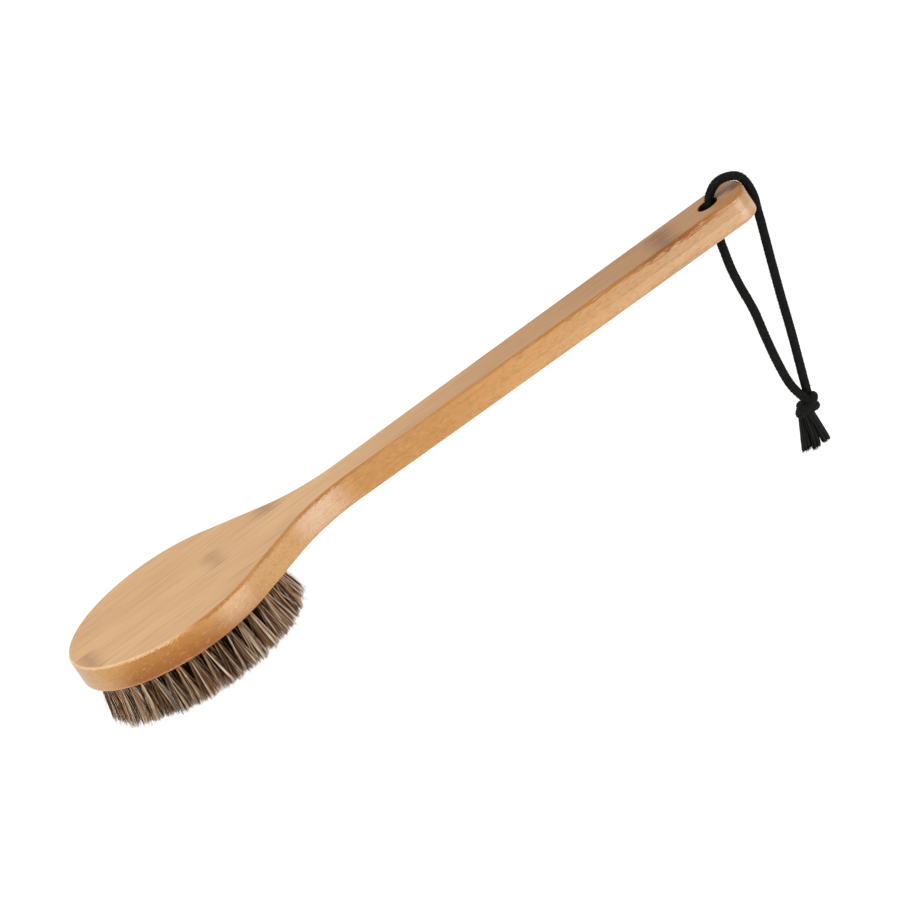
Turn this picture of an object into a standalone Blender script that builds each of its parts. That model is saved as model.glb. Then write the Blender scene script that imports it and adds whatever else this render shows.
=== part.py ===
"""Bath brush with a round head and a flat handle, cut from two glued bamboo boards, with rings of hair tufts
in the head and a knotted cord through the handle's end.

The brush lies level. +X runs from the head to the handle's end, +Z comes out of the flat back, and the
bristles point down. The origin is where a hand holds it: in the middle of the handle's section,
GRIP_FROM_END from the handle's end. Sizes are in metres.
"""

import math
import random

import bmesh
import bpy
import numpy as np
from mathutils import Matrix, Vector

MM = 0.001

# Body
LENGTH = 360 * MM
GRIP_FROM_END = 110 * MM
THICKNESS = 13.1 * MM
BACK_BOARD_THICKNESS = 7 * MM
EDGE_ROUNDING = 1.3 * MM
GLUE_GAP = 0.3 * MM

# Outline, seen from above
HANDLE_END_HALF_WIDTH = 12.95 * MM
NECK_HALF_WIDTH = 10.6 * MM
NECK_TO_HEAD_CENTRE = 92.5 * MM
END_DEPTH = 10 * MM
END_SQUARENESS = 2.3
NECK_FILLET = 60 * MM
HEAD_HALF_LENGTH = 51.5 * MM
HEAD_HALF_WIDTH = 50.6 * MM

# Hanging hole
HOLE_FROM_END = 17.4 * MM
HOLE_RADIUS = 4.8 * MM

# Tufts, in rings about the head's middle, with SECTORS more in each ring than in the one inside it
RING_COUNT = 7
SECTORS = 6
SECTOR_TURN = math.radians(3.36)
OUTER_TUFT_INSET = 6.15 * MM
FIELD_MARGIN = 2.45 * MM
TUFT_HOLE_RADIUS = 1.5 * MM
TUFT_TIP_CLEARANCE = 1.3 * MM
BRISTLE_LENGTH = 21.2 * MM
BRISTLE_UNEVENNESS = 1 * MM
RIM_LEAN = math.radians(4)
SLICE_GAP = 0.3 * MM

# Strands, each a lock of hair, fused to a slice of the bristle board
STRANDS_NEAR_RIM = 3
STRANDS_INSIDE = 2
RINGS_NEAR_RIM = 2
STRAND_SIDES = 3
STRAND_ROOT_RADIUS = 0.62 * MM
STRAND_TIP_RADIUS = 0.7 * MM
STRAND_SUNK = 0.8 * MM

# Drawing wires, one behind each ring of tufts, in the shallow space under the back board
WIRE_RADIUS = 0.35 * MM
WIRE_CLEARANCE = 0.3 * MM

# Cord
CORD_RADIUS = 1.9 * MM
KNOT_GAP = 0.3 * MM
KNOT_CORE_RADII = (3.7 * MM, 3.9 * MM, 6.0 * MM)
KNOT_TURN_DEPTH = 3.4 * MM
TAIL_FLARE = 1.3

# Levels and centres that follow
BACK_Z = THICKNESS / 2
FACE_Z = -THICKNESS / 2
GLUE_Z = BACK_Z - BACK_BOARD_THICKNESS
WIRE_Z = GLUE_Z - GLUE_GAP / 2 - WIRE_CLEARANCE - WIRE_RADIUS
SLICE_TOP_Z = WIRE_Z - WIRE_RADIUS - WIRE_CLEARANCE
HEAD_FROM_END = LENGTH - HEAD_HALF_LENGTH
NECK_FROM_END = HEAD_FROM_END - NECK_TO_HEAD_CENTRE
HEAD_X = GRIP_FROM_END - HEAD_FROM_END
HOLE_X = GRIP_FROM_END - HOLE_FROM_END
OUTER_RING_RADIUS = min(HEAD_HALF_WIDTH, HEAD_HALF_LENGTH) - OUTER_TUFT_INSET
RING_PITCH = OUTER_RING_RADIUS / RING_COUNT
FIELD_RADIUS = OUTER_RING_RADIUS + FIELD_MARGIN

# The cord's route, in millimetres: X from the handle's end, Y, and Z from the back face.
# It leaves the knot, climbs to the handle's end, lies over it, dips through the hole and comes down again.
LOOP_ROUTE = [
    (-26.5, 1.9, -99.5),
    (-25.7, 1.8, -97.0),
    (-23.58, 1.7, -90.37),
    (-21.45, 1.9, -84.04),
    (-17.34, 2.2, -71.65),
    (-12.77, 2.6, -56.71),
    (-6.82, 3.1, -38.29),
    (-1.83, 3.7, -23.48),
    (0.6, 4.0, -15.8),
    (2.3, 4.0, -10.57),
    (2.56, 3.7, -2.69),
    (1.32, 3.2, 0.83),
    (-1.62, 2.8, 3.41),
    (-5.88, 2.45, 4.91),
    (-9.17, 2.2, 4.84),
    (-12.29, 2.05, 3.41),
    (-15.12, 2.0, 1.03),
    (-16.37, 2.0, -1.52),
    (-17.34, 2.05, -6.23),
    (-18.1, 1.9, -10.33),
    (-19.2, 1.7, -13.87),
    (-21.32, 1.6, -18.13),
    (-22.5, 1.2, -23.02),
    (-24.14, 0.6, -30.4),
    (-25.21, 0.1, -38.87),
    (-26.17, -0.4, -52.48),
    (-28.31, -0.8, -64.87),
    (-30.08, -1.0, -76.98),
    (-30.92, -1.0, -86.97),
    (-30.75, -1.2, -92.0),
    (-29.9, -1.6, -96.2),
    (-28.9, -1.9, -99.5),
]
TAIL_ROUTES = [
    [
        (-33.6, 1.9, -105.9),
        (-34.6, 1.7, -108.2),
        (-37.6, 1.3, -114.2),
        (-40.4, 0.8, -120.6),
    ],
    [
        (-31.2, -1.9, -105.9),
        (-31.0, -1.7, -108.2),
        (-31.1, -1.3, -114.8),
        (-31.6, -0.9, -121.6),
    ],
]

# The knot, in the same millimetres and in degrees: a leaning core with two crossing turns round it.
# Each turn has its middle, its half length as seen from the side, and how far its +X end dips.
KNOT_CENTRE = (-30.2, 0.0, -102.9)
KNOT_LEAN = 28
KNOT_TURNS = [
    ((-29.85, 0.0, -102.95), 4.55, -21),
    ((-29.45, 0.0, -103.55), 3.3, 30),
]


def clear_scene():
    for obj in list(bpy.data.objects):
        bpy.data.objects.remove(obj, do_unlink=True)


def collection(name):
    made = bpy.data.collections.new(name)
    bpy.context.scene.collection.children.link(made)
    return made


def material(name, colour, roughness, metallic=0.0):
    made = bpy.data.materials.new(name)
    made.use_nodes = True
    shader = made.node_tree.nodes["Principled BSDF"]
    shader.inputs["Base Color"].default_value = (*colour, 1.0)
    shader.inputs["Roughness"].default_value = roughness
    shader.inputs["Metallic"].default_value = metallic
    made.diffuse_color = (*colour, 1.0)
    return made


def part_of(name, mesh, home, finish):
    obj = bpy.data.objects.new(name, mesh)
    home.objects.link(obj)
    mesh.materials.append(finish)
    mesh.shade_smooth()
    mesh.set_sharp_from_angle(angle=math.radians(35))
    return obj


def cutter_of(name, mesh, home):
    obj = bpy.data.objects.new(name, mesh)
    home.objects.link(obj)
    obj.hide_render = True
    obj.display_type = "WIRE"
    return obj


def add_boolean(obj, operand, operation):
    modifier = obj.modifiers.new(operand.name, "BOOLEAN")
    modifier.operation = operation
    modifier.solver = "EXACT"
    modifier.object = operand


def mesh_from(name, shape):
    mesh = bpy.data.meshes.new(name)
    shape.to_mesh(mesh)
    shape.free()
    return mesh


def cylinder_mesh(name, radius, low, high, segments):
    shape = bmesh.new()
    bmesh.ops.create_cone(
        shape,
        cap_ends=True,
        segments=segments,
        radius1=radius,
        radius2=radius,
        depth=high - low,
        matrix=Matrix.Translation((0, 0, (low + high) / 2)),
    )
    return mesh_from(name, shape)


def block_mesh(name, low, high):
    shape = bmesh.new()
    size = Vector(high) - Vector(low)
    middle = (Vector(high) + Vector(low)) / 2
    bmesh.ops.create_cube(shape, size=1, matrix=Matrix.LocRotScale(middle, None, size))
    return mesh_from(name, shape)


def curve_data(name, points, cyclic):
    data = bpy.data.curves.new(name, "CURVE")
    spline = data.splines.new("POLY")
    spline.points.add(len(points) - 1)
    for target, point in zip(spline.points, points):
        target.co = (*point, 1.0)
    spline.use_cyclic_u = cyclic
    return data


def tube(name, points, radius, resolution, home, finish, cyclic=False, flare=1.0):
    """A round tube, whose radius grows by the flare towards its last point."""
    data = curve_data(name, points, cyclic)
    for number, point in enumerate(data.splines[0].points):
        point.radius = 1 + (flare - 1) * number / (len(points) - 1)
    data.dimensions = "3D"
    data.bevel_depth = radius
    data.bevel_resolution = resolution
    data.use_fill_caps = True
    data.materials.append(finish)
    obj = bpy.data.objects.new(name, data)
    home.objects.link(obj)
    return obj


def mesh_of_curve(curve_obj):
    """The closed mesh of a curve object, which is removed."""
    bpy.context.view_layer.update()
    graph = bpy.context.evaluated_depsgraph_get()
    mesh = bpy.data.meshes.new_from_object(curve_obj.evaluated_get(graph))
    shape = bmesh.new()
    shape.from_mesh(mesh)
    bmesh.ops.remove_doubles(shape, verts=shape.verts, dist=0.00001)
    bmesh.ops.recalc_face_normals(shape, faces=shape.faces)
    shape.to_mesh(mesh)
    shape.free()
    bpy.data.objects.remove(curve_obj, do_unlink=True)
    return mesh


def plate_mesh(name, outline, thickness, home):
    """A flat outline in the XY plane, thickened by half to each side."""
    data = curve_data(name, outline, True)
    data.dimensions = "2D"
    data.fill_mode = "BOTH"
    data.extrude = thickness / 2
    curve = bpy.data.objects.new(name, data)
    home.objects.link(curve)
    return mesh_of_curve(curve)


def handle_half_width(s):
    """Half the handle's width at s from its end. It narrows to the neck as a parabola."""
    share = s / NECK_FROM_END
    return HANDLE_END_HALF_WIDTH - (HANDLE_END_HALF_WIDTH - NECK_HALF_WIDTH) * share * share


def neck_fillet():
    """The fillet's radius, smaller than the arc that would reach the head with no straight flank."""
    rise = HEAD_HALF_WIDTH - NECK_HALF_WIDTH
    reach = NECK_TO_HEAD_CENTRE**2 + NECK_HALF_WIDTH**2 - HEAD_HALF_WIDTH**2
    return min(NECK_FILLET, 0.9 * reach / (2 * rise))


def head_tangent(slope):
    """The turn on the head's ellipse where its edge has this slope, and the point there."""
    turn = math.atan2(HEAD_HALF_LENGTH * math.sin(slope), HEAD_HALF_WIDTH * math.cos(slope))
    s = HEAD_FROM_END - HEAD_HALF_LENGTH * math.sin(turn)
    return turn, s, HEAD_HALF_WIDTH * math.cos(turn)


def flank_slope(fillet):
    """The slope of the straight flank that touches both the neck's fillet and the head."""
    low = 0.0
    high = math.radians(85)
    for _ in range(50):
        slope = (low + high) / 2
        fillet_s = NECK_FROM_END + fillet * math.sin(slope)
        fillet_w = NECK_HALF_WIDTH + fillet * (1 - math.cos(slope))
        _, head_s, head_w = head_tangent(slope)
        if fillet_w + math.tan(slope) * (head_s - fillet_s) < head_w:
            low = slope
        else:
            high = slope
    return low


def half_outline():
    """(distance from the handle's end, half width) from the end's middle to the head's tip."""
    end_width = handle_half_width(END_DEPTH)
    power = 2 / END_SQUARENESS
    points = []
    for turn in np.linspace(0, math.pi / 2, 11):
        s = END_DEPTH * (1 - max(math.cos(turn), 0.0) ** power)
        points.append((s, end_width * math.sin(turn) ** power))
    for s in np.linspace(END_DEPTH, NECK_FROM_END, 9)[1:]:
        points.append((s, handle_half_width(s)))
    fillet = neck_fillet()
    slope = flank_slope(fillet)
    for turn in np.linspace(0, slope, 8)[1:]:
        s = NECK_FROM_END + fillet * math.sin(turn)
        points.append((s, NECK_HALF_WIDTH + fillet * (1 - math.cos(turn))))
    for turn in np.linspace(-head_tangent(slope)[0], math.pi / 2, 25):
        s = HEAD_FROM_END + HEAD_HALF_LENGTH * math.sin(turn)
        points.append((s, HEAD_HALF_WIDTH * math.cos(turn)))
    return points


def body_outline():
    """The closed outline as seen from above, as (x, y, 0)."""
    half = half_outline()
    near = [(GRIP_FROM_END - s, -w, 0.0) for s, w in half[:-1]]
    far = [(GRIP_FROM_END - s, w, 0.0) for s, w in reversed(half[1:])]
    return near + far


def body_blank(name, parts, finish):
    """Head and handle at full thickness, with all edges rounded."""
    blank = part_of(name, plate_mesh(name, body_outline(), THICKNESS, parts), parts, finish)
    rounding = blank.modifiers.new("edge rounding", "BEVEL")
    rounding.width = EDGE_ROUNDING
    rounding.segments = 3
    rounding.limit_method = "ANGLE"
    rounding.angle_limit = math.radians(50)
    return blank


def make_boards(parts, cutters, finish):
    """Both boards come from the same blank, parted at the glue joint."""
    deep = 3 * THICKNESS
    hole = cutter_of("hole_cutter", cylinder_mesh("hole_cutter", HOLE_RADIUS, -deep, deep, 32), cutters)
    hole.location = (HOLE_X, 0, 0)
    field_radius = FIELD_RADIUS + SLICE_GAP
    field = cutter_of("field_cutter", cylinder_mesh("field_cutter", field_radius, -deep, deep, 48), cutters)
    field.location = (HEAD_X, 0, 0)
    field.rotation_euler.z = SECTOR_TURN
    wide = 2 * LENGTH
    below_glue = block_mesh("below_glue", (-wide, -wide, -deep), (wide, wide, GLUE_Z + GLUE_GAP / 2))
    above_glue = block_mesh("above_glue", (-wide, -wide, GLUE_Z - GLUE_GAP / 2), (wide, wide, deep))
    back = body_blank("back_board", parts, finish)
    add_boolean(back, cutter_of("below_glue", below_glue, cutters), "DIFFERENCE")
    add_boolean(back, hole, "DIFFERENCE")
    bristle = body_blank("bristle_board", parts, finish)
    add_boolean(bristle, cutter_of("above_glue", above_glue, cutters), "DIFFERENCE")
    add_boolean(bristle, hole, "DIFFERENCE")
    add_boolean(bristle, field, "DIFFERENCE")


def middle_radius():
    """The radius that parts the middle slice, with the first ring, from the sectors round it."""
    return 1.5 * RING_PITCH


def sector_outline():
    """A sixth of the field outside the middle, from the X axis round, half a gap inside its borders."""
    outline = []
    reach = math.tau / SECTORS
    for radius, backwards in ((FIELD_RADIUS, False), (middle_radius() + SLICE_GAP / 2, True)):
        inset = math.asin(SLICE_GAP / 2 / radius)
        turns = np.linspace(inset, reach - inset, 9 if radius == FIELD_RADIUS else 4)
        for turn in turns[::-1] if backwards else turns:
            outline.append((radius * math.cos(turn), radius * math.sin(turn), 0.0))
    return outline


def middle_tufts():
    """(ring, turn) of the tufts in the middle slice: the centre tuft and the first ring."""
    return [(0, 0.0)] + [(1, (i + 0.5) * math.tau / SECTORS) for i in range(SECTORS)]


def sector_tufts():
    """(ring, turn) of the tufts in one sector, where ring n has n tufts."""
    reach = math.tau / SECTORS
    return [(ring, (i + 0.5) * reach / ring) for ring in range(2, RING_COUNT + 1) for i in range(ring)]


def add_strand(shape, root, tip):
    along = tip - root
    turn = along.to_track_quat("Z", "Y")
    bmesh.ops.create_cone(
        shape,
        cap_ends=True,
        segments=STRAND_SIDES,
        radius1=STRAND_ROOT_RADIUS,
        radius2=STRAND_TIP_RADIUS,
        depth=along.length,
        matrix=Matrix.LocRotScale((root + tip) / 2, turn, None),
    )


def strands_mesh(name, tufts, rng):
    """The strands of some tufts. They splay within a tuft, and the tufts lean out more towards the rim."""
    root_spread = TUFT_HOLE_RADIUS - STRAND_ROOT_RADIUS
    tip_spread = (RING_PITCH - TUFT_TIP_CLEARANCE) / 2 - STRAND_TIP_RADIUS
    shape = bmesh.new()
    for ring, turn in tufts:
        outward = Vector((math.cos(turn), math.sin(turn), 0))
        near_rim = ring > RING_COUNT - RINGS_NEAR_RIM
        count = STRANDS_NEAR_RIM if near_rim else STRANDS_INSIDE
        first = turn + rng.uniform(-0.3, 0.3) + math.pi / 2
        lean = math.tan(RIM_LEAN * ring / RING_COUNT)
        for i in range(count):
            splay_turn = first + math.tau * i / count
            splay = Vector((math.cos(splay_turn), math.sin(splay_turn), 0))
            length = BRISTLE_LENGTH + rng.uniform(-1, 1) * BRISTLE_UNEVENNESS
            root = outward * (ring * RING_PITCH) + splay * root_spread
            root.z = FACE_Z + STRAND_SUNK
            tip = outward * (ring * RING_PITCH + length * lean) + splay * tip_spread
            tip.z = FACE_Z - length
            add_strand(shape, root, tip)
    return mesh_from(name, shape)


def make_tufts(name, slice_mesh, tufts, turn, parts, cutters, finish, seed):
    """Tufts fused to their slice of the bristle board, turned about the head's middle."""
    obj = part_of(name, slice_mesh, parts, finish)
    strands = cutter_of(name + "_strands", strands_mesh(name + "_strands", tufts, random.Random(seed)), cutters)
    for piece in (obj, strands):
        piece.location = (HEAD_X, 0, 0)
        piece.rotation_euler.z = turn
    add_boolean(obj, strands, "UNION")


def make_all_tufts(parts, cutters, finish):
    radius = middle_radius() - SLICE_GAP / 2
    middle = cylinder_mesh("tufts_middle", radius, FACE_Z, SLICE_TOP_Z, 24)
    make_tufts("tufts_middle", middle, middle_tufts(), SECTOR_TURN, parts, cutters, finish, 0)
    for number in range(1, SECTORS + 1):
        name = f"tufts_sector_{number}"
        mesh = plate_mesh(name, sector_outline(), SLICE_TOP_Z - FACE_Z, parts)
        mesh.transform(Matrix.Translation((0, 0, (SLICE_TOP_Z + FACE_Z) / 2)))
        turn = SECTOR_TURN + (number - 1) * math.tau / SECTORS
        make_tufts(name, mesh, sector_tufts(), turn, parts, cutters, finish, number)


def make_draw_wires(parts, finish):
    for ring in range(1, RING_COUNT + 1):
        radius = ring * RING_PITCH
        count = 24 if ring < 5 else 36
        turns = [math.tau * i / count for i in range(count)]
        points = [(HEAD_X + radius * math.cos(a), radius * math.sin(a), WIRE_Z) for a in turns]
        tube(f"draw_wire_{ring}", points, WIRE_RADIUS, 0, parts, finish, cyclic=True)


def placed(point):
    """A point of a route, in metres and in the brush's frame."""
    return Vector((GRIP_FROM_END + point[0] * MM, point[1] * MM, BACK_Z + point[2] * MM))


def smooth_route(route, reads):
    """Points of a smooth curve through the route's own points, with this many reads a span."""
    given = [placed(point) for point in route]
    chain = [2 * given[0] - given[1], *given, 2 * given[-1] - given[-2]]
    points = []
    for a, b, c, d in zip(chain, chain[1:], chain[2:], chain[3:]):
        t1 = math.sqrt((b - a).length)
        t2 = t1 + math.sqrt((c - b).length)
        t3 = t2 + math.sqrt((d - c).length)
        for read in range(reads):
            t = t1 + (t2 - t1) * read / reads
            ab = a.lerp(b, t / t1)
            bc = b.lerp(c, (t - t1) / (t2 - t1))
            cd = c.lerp(d, (t - t2) / (t3 - t2))
            abc = ab.lerp(bc, t / t2)
            bcd = bc.lerp(cd, (t - t1) / (t3 - t1))
            points.append(abc.lerp(bcd, (t - t1) / (t2 - t1)))
    return [*points, given[-1]]


def make_knot(routes, parts, cutters, finish):
    """The knot, with a pocket for each cord end that goes into it."""
    core = bmesh.new()
    lean = Matrix.Rotation(math.radians(KNOT_LEAN), 3, "Y").to_quaternion()
    stretch = Matrix.LocRotScale(placed(KNOT_CENTRE), lean, Vector(KNOT_CORE_RADII))
    bmesh.ops.create_uvsphere(core, u_segments=16, v_segments=10, radius=1, matrix=stretch)
    knot = part_of("cord_knot", mesh_from("cord_knot", core), parts, finish)
    for number, (middle, half_length, dip) in enumerate(KNOT_TURNS, 1):
        name = f"knot_turn_{number}"
        tipped = Matrix.Translation(placed(middle)) @ Matrix.Rotation(math.radians(dip), 4, "Y")
        points = []
        for i in range(16):
            a = math.tau * i / 16
            points.append(tipped @ Vector((half_length * MM * math.cos(a), KNOT_TURN_DEPTH * math.sin(a), 0)))
        turn = mesh_of_curve(tube(name, points, CORD_RADIUS, 2, cutters, finish, cyclic=True))
        add_boolean(knot, cutter_of(name, turn, cutters), "UNION")
    ends = [(route[0], route[1]) for route in routes]
    ends.append((LOOP_ROUTE[-1], LOOP_ROUTE[-2]))
    for number, (end, before) in enumerate(ends, 1):
        name = f"knot_pocket_{number}"
        outward = (placed(before) - placed(end)).normalized()
        line = [placed(end) - outward * KNOT_GAP, placed(end) + outward * 5 * CORD_RADIUS]
        pocket = mesh_of_curve(tube(name, line, CORD_RADIUS + KNOT_GAP, 3, cutters, finish))
        add_boolean(knot, cutter_of(name, pocket, cutters), "DIFFERENCE")


def make_cord(parts, cutters, finish):
    tube("hanging_cord", smooth_route(LOOP_ROUTE, 2), CORD_RADIUS, 2, parts, finish)
    for number, route in enumerate(TAIL_ROUTES, 1):
        tube(f"cord_tail_{number}", smooth_route(route, 2), CORD_RADIUS, 2, parts, finish, flare=TAIL_FLARE)
    make_knot([LOOP_ROUTE, *TAIL_ROUTES], parts, cutters, finish)


def main():
    clear_scene()
    parts = collection("bath_brush")
    cutters = collection("cutters")
    bamboo = material("bamboo", (0.62, 0.40, 0.21), 0.45)
    hair = material("horsehair", (0.16, 0.09, 0.055), 0.6)
    wire = material("galvanised wire", (0.55, 0.55, 0.54), 0.35, 1.0)
    cord = material("black cord", (0.012, 0.011, 0.011), 0.8)
    make_boards(parts, cutters, bamboo)
    make_all_tufts(parts, cutters, hair)
    make_draw_wires(parts, wire)
    make_cord(parts, cutters, cord)


main()
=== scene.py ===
"""Bath brush: two glued bamboo boards, rings of horsehair tufts and a knotted hanging cord.

Every surface is worked out with numpy in the CAD model's frame: metres, +X from the head to the handle's
end, +Z out of the flat back, with the origin where a hand holds the handle. The bristles point down.
"""

import math
from functools import partial

import bpy
import numpy as np
from bpy.props import FloatProperty, FloatVectorProperty, IntProperty, PointerProperty
from mathutils import Matrix, Vector


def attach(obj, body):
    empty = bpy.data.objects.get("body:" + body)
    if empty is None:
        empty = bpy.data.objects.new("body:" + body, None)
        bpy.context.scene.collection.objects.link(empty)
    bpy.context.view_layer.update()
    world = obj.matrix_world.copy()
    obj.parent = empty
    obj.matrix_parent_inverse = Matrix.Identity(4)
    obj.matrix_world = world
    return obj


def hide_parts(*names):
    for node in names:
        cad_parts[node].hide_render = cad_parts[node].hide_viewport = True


bl_info = {
    "name": "Bath Brush",
    "version": (1, 0, 0),
    "blender": (4, 5, 0),
    "location": "3D View > Sidebar > Bath Brush",
    "description": "Bamboo bath brush with horsehair tufts and a knotted hanging cord",
    "category": "Add Mesh",
}

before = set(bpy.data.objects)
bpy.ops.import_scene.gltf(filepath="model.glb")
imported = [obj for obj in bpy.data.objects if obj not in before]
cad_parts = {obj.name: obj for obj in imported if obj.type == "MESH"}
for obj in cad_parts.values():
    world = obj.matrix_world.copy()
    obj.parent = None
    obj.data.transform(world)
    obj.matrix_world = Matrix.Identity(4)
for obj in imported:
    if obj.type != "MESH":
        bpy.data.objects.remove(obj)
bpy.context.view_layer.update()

MM = 0.001

# Body, as in the CAD model
LENGTH = 360 * MM
GRIP_FROM_END = 110 * MM
THICKNESS = 13.1 * MM
BACK_BOARD_THICKNESS = 7 * MM
HANDLE_END_HALF_WIDTH = 12.95 * MM
NECK_HALF_WIDTH = 10.6 * MM
NECK_TO_HEAD_CENTRE = 92.5 * MM
END_DEPTH = 10 * MM
END_SQUARENESS = 2.3
NECK_FILLET = 60 * MM
HEAD_HALF_LENGTH = 51.5 * MM
HEAD_HALF_WIDTH = 50.6 * MM
HOLE_FROM_END = 17.4 * MM
HOLE_RADIUS = 4.8 * MM

# Tufts, in rings about the head's middle
RING_COUNT = 7
SECTORS = 6
SECTOR_TURN = math.radians(3.36)
RING_PITCH = 6.35 * MM
FIELD_RADIUS = 46.9 * MM
RIM_LEAN = math.radians(4)
BRISTLE_LENGTH = 21.2 * MM

# Levels and centres that follow
BACK_Z = THICKNESS / 2
FACE_Z = -THICKNESS / 2
GLUE_Z = BACK_Z - BACK_BOARD_THICKNESS
HEAD_X = GRIP_FROM_END - LENGTH + HEAD_HALF_LENGTH
HOLE_X = GRIP_FROM_END - HOLE_FROM_END
NECK_FROM_END = LENGTH - HEAD_HALF_LENGTH - NECK_TO_HEAD_CENTRE
WIRE_SPACE_DEPTH = 1.45 * MM

# The cord's route, in millimetres: X from the handle's end, Y, and Z from the back face.
# It leaves the knot, climbs to the handle's end, lies over it, dips through the hole and comes down again.
LOOP_ROUTE = [
    (-26.5, 1.9, -99.5), (-25.7, 1.8, -97.0), (-23.58, 1.7, -90.37), (-21.45, 1.9, -84.04), (-17.34, 2.2, -71.65),
    (-12.77, 2.6, -56.71), (-6.82, 3.1, -38.29), (-1.83, 3.7, -23.48), (0.6, 4.0, -15.8), (2.3, 4.0, -10.57),
    (2.56, 3.7, -2.69), (1.32, 3.2, 0.83), (-1.62, 2.8, 3.41), (-5.88, 2.45, 4.91), (-9.17, 2.2, 4.84),
    (-12.29, 2.05, 3.41), (-15.12, 2.0, 1.03), (-16.37, 2.0, -1.52), (-17.34, 2.05, -6.23), (-18.1, 1.9, -10.33),
    (-19.2, 1.7, -13.87), (-21.32, 1.6, -18.13), (-22.5, 1.2, -23.02), (-24.14, 0.6, -30.4), (-25.21, 0.1, -38.87),
    (-26.17, -0.4, -52.48), (-28.31, -0.8, -64.87), (-30.08, -1.0, -76.98), (-30.92, -1.0, -86.97),
    (-30.75, -1.2, -92.0), (-29.9, -1.6, -96.2), (-28.9, -1.9, -99.5),
]

# Where the cord's ends run through the knot, and the two turns laid round them: each turn's middle, half
# length, half depth, and how far its +X end dips in degrees
KNOT_RUNS = [
    [(-26.2, 1.9, -98.6), (-27.4, 1.9, -101.2), (-30.6, 1.6, -103.6), (-33.9, 1.8, -106.9)],
    [(-29.2, -1.9, -98.6), (-28.2, -2.1, -101.6), (-29.2, -1.6, -104.2), (-31.3, -1.9, -106.9)],
]
KNOT_TURNS = [
    ((-29.8, 0.0, -102.95), 5.0, 3.5, -21),
    ((-29.45, 0.0, -103.55), 3.3, 3.3, 30),
]

# Locks of unlaid yarns in the two tails: root, middle, tip, radius at the root and at the tip, yarns
TAIL_LOCKS = {
    "cord_tail_1": [
        ((-33.0, 1.7, -104.8), (-37.1, 1.5, -113.0), (-40.1, 0.8, -119.8), 1.75, 1.9, 36),
    ],
    "cord_tail_2": [
        ((-32.3, -1.3, -104.8), (-34.2, -1.1, -113.9), (-36.4, -0.5, -121.2), 1.8, 1.6, 30),
        ((-30.9, -1.9, -104.8), (-31.0, -1.6, -113.5), (-31.2, -1.0, -120.9), 1.9, 1.55, 30),
    ],
}

# The two kinds of strand in a tail: strands to a yarn, stations, share of the line where they begin, range of
# their ends past the line's, radius in millimetres, sides, range of tones
TAIL_STRANDS = [
    (1, 12, 0, (-0.07, 0.03), 0.5, 7, (0, 0.7)),
    (7, 7, 0.55, (-0.05, 0.09), 0.09, 3, (0.2, 1)),
]
GOLDEN_ANGLE = 2.39996
FUZZ_COUNT = 3600

# Stray of locks and of single hairs as shares of a tuft's radius, and the share of hairs that stand loose
LOCK_STRAY = 0.22
HAIR_STRAY = 0.08
LOOSE_SHARE = 0.09
LOOSE_STRAY = 0.5

# Shares of mostly pale locks, and of pale hairs in them and in the others
PALE_LOCKS = 0.21
PALE_WITHIN = 0.8
PALE_ELSEWHERE = 0.04
PALE_THICKNESS = 1.8

# The view of the photograph in degrees, the white floor's glow, and the grey that lights the brush from all round
YAW, RISE, ROLL = -5.2, 20, 34.07
FLOOR_GLOW = 0.68
WORLD_LIGHT = 0.36


def linear(code):
    """An sRGB hex colour as linear red, green and blue."""
    shares = [int(code[i : i + 2], 16) / 255 for i in (1, 3, 5)]
    return tuple(c / 12.92 if c <= 0.04045 else ((c + 0.055) / 1.055) ** 2.4 for c in shares)


def metres(name, description, default):
    """A length that a user may change."""
    return FloatProperty(name=name, description=description, default=default, unit="LENGTH", precision=5)


def watts(name, description, default):
    """A lamp's power that a user may change."""
    return FloatProperty(name=name, description=description, default=default, unit="POWER")


def number(name, description, default):
    """A whole number that a user may change."""
    return IntProperty(name=name, description=description, default=default)


def paint(name, what, code):
    """The colour of what the brush shows there, which a user may change."""
    return FloatVectorProperty(name=name, description="Colour of " + what, default=linear(code), subtype="COLOR")


# ---- sizes and colours


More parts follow.
